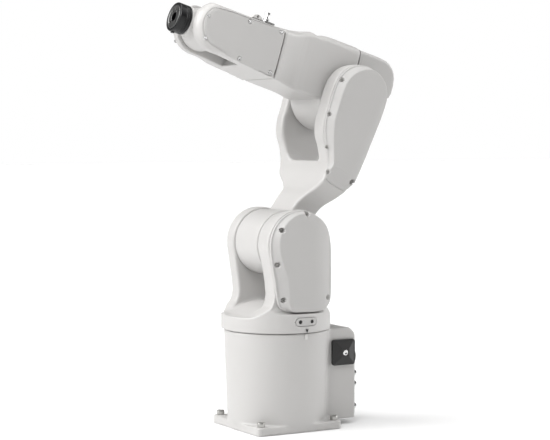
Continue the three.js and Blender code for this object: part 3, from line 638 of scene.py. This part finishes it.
cast("port_plate_shell", "turntable", COVER_PAINT, *port_plate(), ROW, ["port_plate"], "cover_paint")

# ---------------------------------------------------------------- upper arm
ARM_SIDE = spline([
    (0, 420), (30, 414), (54, 394), (66, 366), (67, 338), (61, 300), (56, 266), (44, 238), (24, 216),
    (6, 186), (1, 160), (4, 132), (11, 112), (15, 94), (18, 76), (26, 56), (48, 40), (-44, 40),
    (-42, 72), (-43, 104), (-56, 134), (-65, 164), (-69, 216), (-68, 284), (-66, 344), (-58, 380),
    (-34, 408),
])
ARM_FRONT = [
    (-57.5, 0), (38.5, 0), (38.5, 78), (41, 88), (47, 100), (56, 114), (66, 127), (76, 140), (84, 151),
    (84, 430), (-121, 430), (-121, 176), (-119, 168), (-114, 161), (-106, 155), (-95, 148), (-81, 140),
    (-66, 128), (-59.5, 120), (-57.5, 112),
]
J3_MOTOR = (-20, 238)
GEAR_SEAT, BEARING_SEAT = 49.8, 47.9  # radii in the fork's cheeks
NECK_RIGHT, NECK_LEFT = -57.5, 38.5  # flanks of the drum and of the neck above it
FORK_GAP = [(-89, 222), (-86, 209), (-78, 200), (-66, 196), (42.5, 196), (42.5, 470), (-89, 470)]


def belt_room(grid, radius):
    """Two round wells in line along the fork's cheek, on axis 3 and on its motor."""
    joint = np.hypot(grid.x, grid.z - UPPER_ARM) - radius
    return join(joint, np.hypot(grid.x - J3_MOTOR[0], grid.z - J3_MOTOR[1]) - radius)


def upper_arm_shell():
    """Drum, neck and fork in one casting."""
    g = Grid((-72, -121, -72), (72, 84, 421), 2.1)
    side = g.outline(ARM_SIDE, "Y")
    body = meet(side, g.outline(ARM_FRONT, "X"), 7)
    body = meet(body, -g.outline(FORK_GAP, "X"), 10)
    drum = g.rod("Y", 71, NECK_RIGHT, NECK_LEFT, (0, 0), 1.6)
    body = join(body, drum, 4)
    flanks = np.maximum(g.y - NECK_LEFT, NECK_RIGHT - g.y) - 3 * np.maximum(g.z - 76, 0)
    body = np.maximum(body, flanks)  # the neck stays clear of the yoke
    body = join(body, g.rod("Y", 35.5, -76, -50, (0, 0), 1))
    body = cut(body, g.rod("Y", GEAR_SEAT, 30, 72, (0, UPPER_ARM), 0.2))
    body = cut(body, g.rod("Y", BEARING_SEAT, -106, -80, (0, UPPER_ARM), 0.2))
    body = cut(body, np.maximum(belt_room(g, 38), 72 - g.y))
    body = cut(body, g.block((-47, 7), (46, 100), (211, 265), 8))
    return g, cut(body, g.rod("Y", 22, -90, 60, (0, 0), 0.2))


cast(
    "upper_arm_shell", "upper_arm", PAINT, *upper_arm_shell(), SHOULDER, ["upper_arm_casting"],
    "casting_paint",
)

ARM_RIM = spline([
    (0, 419), (30, 412), (52, 393), (64, 366), (65, 338), (60, 300), (55, 266), (43, 239), (24, 212),
    (8, 186), (2, 160), (-24, 152), (-54, 152), (-64, 168), (-67, 216), (-66, 284), (-64, 344),
    (-57, 379), (-34, 407),
])
ARM_FACE = spline([
    (-4, 414), (20, 406), (39, 388), (50, 363), (51, 338), (47, 300), (42, 270), (32, 244), (17, 214),
    (5, 188), (0, 164), (-26, 154), (-54, 154), (-63, 170), (-66, 216), (-65, 284), (-63, 342),
    (-56, 378), (-34, 404),
])


ARM_SCREWS = [(60, 362), (56, 282), (30, 216), (5, 170), (-58, 176)]
ARM_SEAT = 90.4


def upper_arm_cover():
    """Moulded cover on the left cheek of the fork, chamfered at its lower end."""
    g = Grid((-69, 84, 150), (67, 106.2, 420), 1.2)
    slope = 84.6 + (g.z - 151) * 0.62
    rim = capped(g.outline(ARM_RIM, "Y"), g.y, 84.9, 91.0, 1.2)
    rim = meet(rim, g.y - slope, 1.5)
    back = np.clip((-40 - g.x) / 28, 0, 1)
    top = np.minimum(105.8 - 7.0 * back**2, slope)
    rise = np.clip((g.y - 88.5) / 17.0, 0, 1)
    outer, inner = g.outline(ARM_RIM, "Y") + 1.2, g.outline(ARM_FACE, "Y")
    flank = (outer * (1 - rise) + inner * rise) / 1.2
    face = meet(flank, g.y - top, 1.6)
    face = np.maximum(face, 86 - g.y)
    body = join(rim, face, 1.0)
    for x, z in ARM_SCREWS:
        body = cut(body, g.rod("Y", POCKET, ARM_SEAT, 125, (x, z), 0.3), 0.8)
    return g, cut(body, np.maximum(belt_room(g, 36), g.y - 101.5))


cast(
    "upper_arm_cover_shell", "upper_arm", COVER_PAINT, *upper_arm_cover(), SHOULDER,
    ["upper_arm_side_cover"], "cover_paint",
)
screws(
    "upper_arm_cover_screws", "upper_arm", SHOULDER, [(x, ARM_SEAT, z) for x, z in ARM_SCREWS],
    (0, 1, 0),
    3.3, 3.0, SCREW_STEEL,
)

# ---------------------------------------------------------------- elbow
SEAM = 203.0
ELBOW_CROWN = [
    (-8, 71.5), (-8, 119), (25, 119), (66, 118.5), (84, 116), (98, 111), (106, 113), (114, 114.5),
    (124, 112), (141, 106), (166, 101), (SEAM - 1, 98),
]
ELBOW_BELLY = [(SEAM - 1, -22), *arc(72, 340, 180, 30)]
ELBOW_PLAN = [
    (-90, -86), (84, -86), (94, -81), (104, -75), (116, -70.5), (128, -68.5), (SEAM, -67), (SEAM, 67),
    (196, 66), (184, 62), (170, 55.5), (155, 48), (141, 42), (128, 39), (112, 38), (-90, 38),
]
AXIS4 = (0, ELBOW_RISE)


def roofed(grid):
    """Heights raised beside the middle plane, so that a level outline becomes a low roof."""
    return grid.z + 0.25 * np.maximum(np.abs(grid.y) - 8, 0) * np.clip((grid.z - 30) / 40, 0, 1)


def elbow_shell():
    """Drum on axis 3 and the housing that widens to the turning gap."""
    g = Grid((-73, -104, -73), (SEAM - 1, 67, 119.5), 1.7)
    side = polygon(ELBOW_CROWN + ELBOW_BELLY, g.x, roofed(g))
    plan = g.outline(ELBOW_PLAN, "Z")
    body = meet(side, plan, 7)
    body = meet(body, (g.z - 66) * 0.787 + (np.abs(g.y) - 88) * 0.617 - 2, 10)
    body = join(body, g.rod("Y", 35.5, -104, -80, (0, 0), 1))
    body = np.maximum(body, g.x - (SEAM - 1))
    body = cut(body, g.rod("X", 50.5, 168, 230, AXIS4, 0.2))
    return g, cut(body, g.block((-80, 170), (-37, 28), (8, 92), 6))


cast("elbow_shell", "elbow", PAINT, *elbow_shell(), ELBOW, ["elbow_housing"], "casting_paint")


def elbow_cap():
    """Rear cover, hollowed round the drum."""
    g = Grid((-112, -46, 20), (-9, 37, 118.5), 1.2)
    outline = [
        (-9, 22), (-9, 117), (-60, 117), (-80, 115), (-90, 111), (-99, 104), (-106, 95), (-110, 84),
        (-112, 70), (-112, 46), (-108, 33), (-100, 26), (-86, 22),
    ]
    body = capped(polygon(outline, g.x, roofed(g)), g.y, -46, 37, 7)
    body = np.maximum(body, g.x + 10.0)
    body = cut(body, g.rod("Y", 72.8, -120, 80, (0, 0), 0.1), 1.5)
    return g, cut(body, g.block((-102, 20), (-28, 22), (42, 103), 5))


cast("elbow_cap_shell", "elbow", COVER_PAINT, *elbow_cap(), ELBOW, ["elbow_rear_cover"], "cover_paint")

# ---------------------------------------------------------------- forearm
AXIS5 = (FOREARM, ELBOW_RISE)
CHEEK = 53.0
WRIST_ROOM = 92.0  # radius about axis 5 that the flange needs to swing back
J5_MOTOR = (240.0, 40.0)
FOREARM_SIDE = [
    (SEAM + 1.2, -22), (330, ELBOW_RISE - CHEEK), *arc(CHEEK, -90, 90, 30, AXIS5),
    (336, 96), (322, 97.5), (300, 98), (SEAM + 1.2, 98),
]


def forearm_body(g):
    """The whole outer shape of the forearm, side covers included; its front is rounded more."""
    side = g.outline(FOREARM_SIDE, "Y")
    half = np.abs(g.y)
    nose = np.clip((g.x - 300) / 60, 0, 1)
    body = meet(side, half - 69.0, 3)
    body = meet(body, (roofed(g) - 98) / 1.03, 3)
    bull = capped(side, half, -80, 69.0, 21)
    return body * (1 - nose) + np.maximum(body, bull) * nose


def cover_region(g, sign, grow=0.0):
    """Volume of a side cover: the outer 4 mm inside its outline."""
    outline = spline([
        (SEAM + 3, -14), (SEAM + 6, -18), (240, -17.5), (300, -15), (346, -10), (376, -2), (392, 14),
        (397, 42), (393, 62), (380, 73), (350, 78), (300, 79.5), (240, 81), (SEAM + 6, 82.5),
        (SEAM + 3, 79),
    ], 4)
    return np.maximum(g.outline(outline, "Y") - grow, (65.35 - grow) - sign * g.y)


def forearm_shell():
    """Casting with seats for the side covers, a slot for the wrist and a land for the lifting lug."""
    g = Grid((SEAM + 1, -69, -23), (405, 69, 98.5), 1.4)
    body = forearm_body(g)
    for sign in (1, -1):
        body = cut(body, cover_region(g, sign, 0.45))
    body = cut(body, np.maximum(g.polar("Y", AXIS5) - WRIST_ROOM, np.abs(g.y) - 35.5), 3)
    pocket = join(g.polar("Y", AXIS5) - 36, g.polar("Y", J5_MOTOR) - 33)
    body = cut(body, np.maximum(pocket, 48 - np.abs(g.y)))
    body = cut(body, g.block((215, 265), (-46, 50), (15, 65), 6))
    body = cut(body, g.rod("Y", 31, 30, 60, AXIS5, 0.2))
    body = cut(body, g.block((240, 270), (12, 28), (94.5, 110), 2))
    return g, np.maximum(body, (SEAM + 1.2) - g.x)


FOREARM_SCREWS = [(388, 54), (382, 8), (292, 74), (214, 77), (294, -8), (216, -13)]
FOREARM_SEAT = 67.0


def forearm_cover(sign):
    """Flat side cover with screw recesses."""
    low, high = (64, 69.2) if sign > 0 else (-69.2, -64)
    g = Grid((SEAM + 2, low, -20), (400, high, 91), 1.1)
    body = meet(forearm_body(g), cover_region(g, sign), 0.8)
    for x, z in FOREARM_SCREWS:
        body = cut(body, g.rod("Y", 5.0, sign * FOREARM_SEAT, sign * 80, (x, z), 0.2), 0.6)
    return g, body


cast("forearm_shell", "forearm", PAINT, *forearm_shell(), ELBOW, ["forearm_casting"], "casting_paint")
cast(
    "forearm_left_shell", "forearm", COVER_PAINT, *forearm_cover(1), ELBOW, ["forearm_left_cover"],
    "cover_paint",
)
cast(
    "forearm_right_shell", "forearm", COVER_PAINT, *forearm_cover(-1), ELBOW, ["forearm_right_cover"],
    "cover_paint",
)
for sign, side_name in ((1, "left"), (-1, "right")):
    screws(
        f"forearm_{side_name}_screws", "forearm", ELBOW,
        [(x, sign * FOREARM_SEAT, z) for x, z in FOREARM_SCREWS],
        (0, sign, 0), 3.5, 1.9, BRIGHT_METAL,
    )

# ---------------------------------------------------------------- wrist and tool flange


def wrist_shell():
    """Drum on axis 5 with the round nose that carries the flange."""
    g = Grid((-46, -35, -46), (54, 35, 46), 1.0)
    drum = g.rod("Y", 46, -34.7, 34.7, (0, 0), 3)
    nose = g.revolve([(0, 0), (33, 0), (33, 36), (31.5, 40), (31.5, 50), (30, 52.8), (0, 52.8)], "X")
    body = join(drum, nose, 5)
    return g, cut(body, g.rod("X", 24, -30, 60, (0, 0), 0.2))


cast("wrist_shell", "wrist", PAINT, *wrist_shell(), WRIST_FRAME, ["wrist_housing"], "casting_paint")


def flange_shell():
    """Grooved ring with a zero-mark tab."""
    g = Grid((53.5, -35, -35), (82, 32, 32), 0.7)
    body = g.revolve([
        (0, 54), (30.2, 54), (31.5, 55.4), (31.5, 60.5), (30.0, 61.2), (30.0, 62.4), (31.5, 63.2),
        (31.5, 65), (30.4, 65.6), (30.4, 66.6), (31.5, 67.2), (31.5, 79.2), (30.2, 81), (0, 81),
    ], "X")
    body = join(body, g.block((72, 78), (-4, 4), (-34, -28), 1))
    body = cut(body, g.rod("X", 26, 78, 90, (0, 0), 0.2), 0.8)
    return g, cut(body, g.rod("X", 12.6, 68, 90, (0, 0), 0.2))


def flange_face():
    """Tool face: raised rim, centre bore, four threaded holes and a dowel hole."""
    g = Grid((78, -26, -26), (82.2, 26, 26), 0.6)
    profile = [(0, 78.4), (25.6, 78.4), (25.6, 81.6), (25.0, 82), (21.4, 82), (20.8, 81.2), (0, 81.2)]
    body = g.revolve(profile, "X")
    body = cut(body, g.rod("X", 10, 60, 90, (0, 0), 0.1), 0.6)
    for angle in (45, 135, 225, 315):
        at = (15.75 * math.cos(math.radians(angle)), 15.75 * math.sin(math.radians(angle)))
        body = cut(body, g.rod("X", 2.6, 60, 90, at, 0.1), 0.5)
    return g, cut(body, g.rod("X", 2.5, 60, 90, (0, 15.75), 0.1), 0.4)


cast(
    "flange_shell", "tool_flange", BLACK_ANODISED, *flange_shell(), WRIST_FRAME, ["tool_flange"],
    "anodised_black",
)
cast(
    "flange_face_shell", "tool_flange", FACE_METAL, *flange_face(), WRIST_FRAME, ["flange_face"],
    "bright_metal",
)
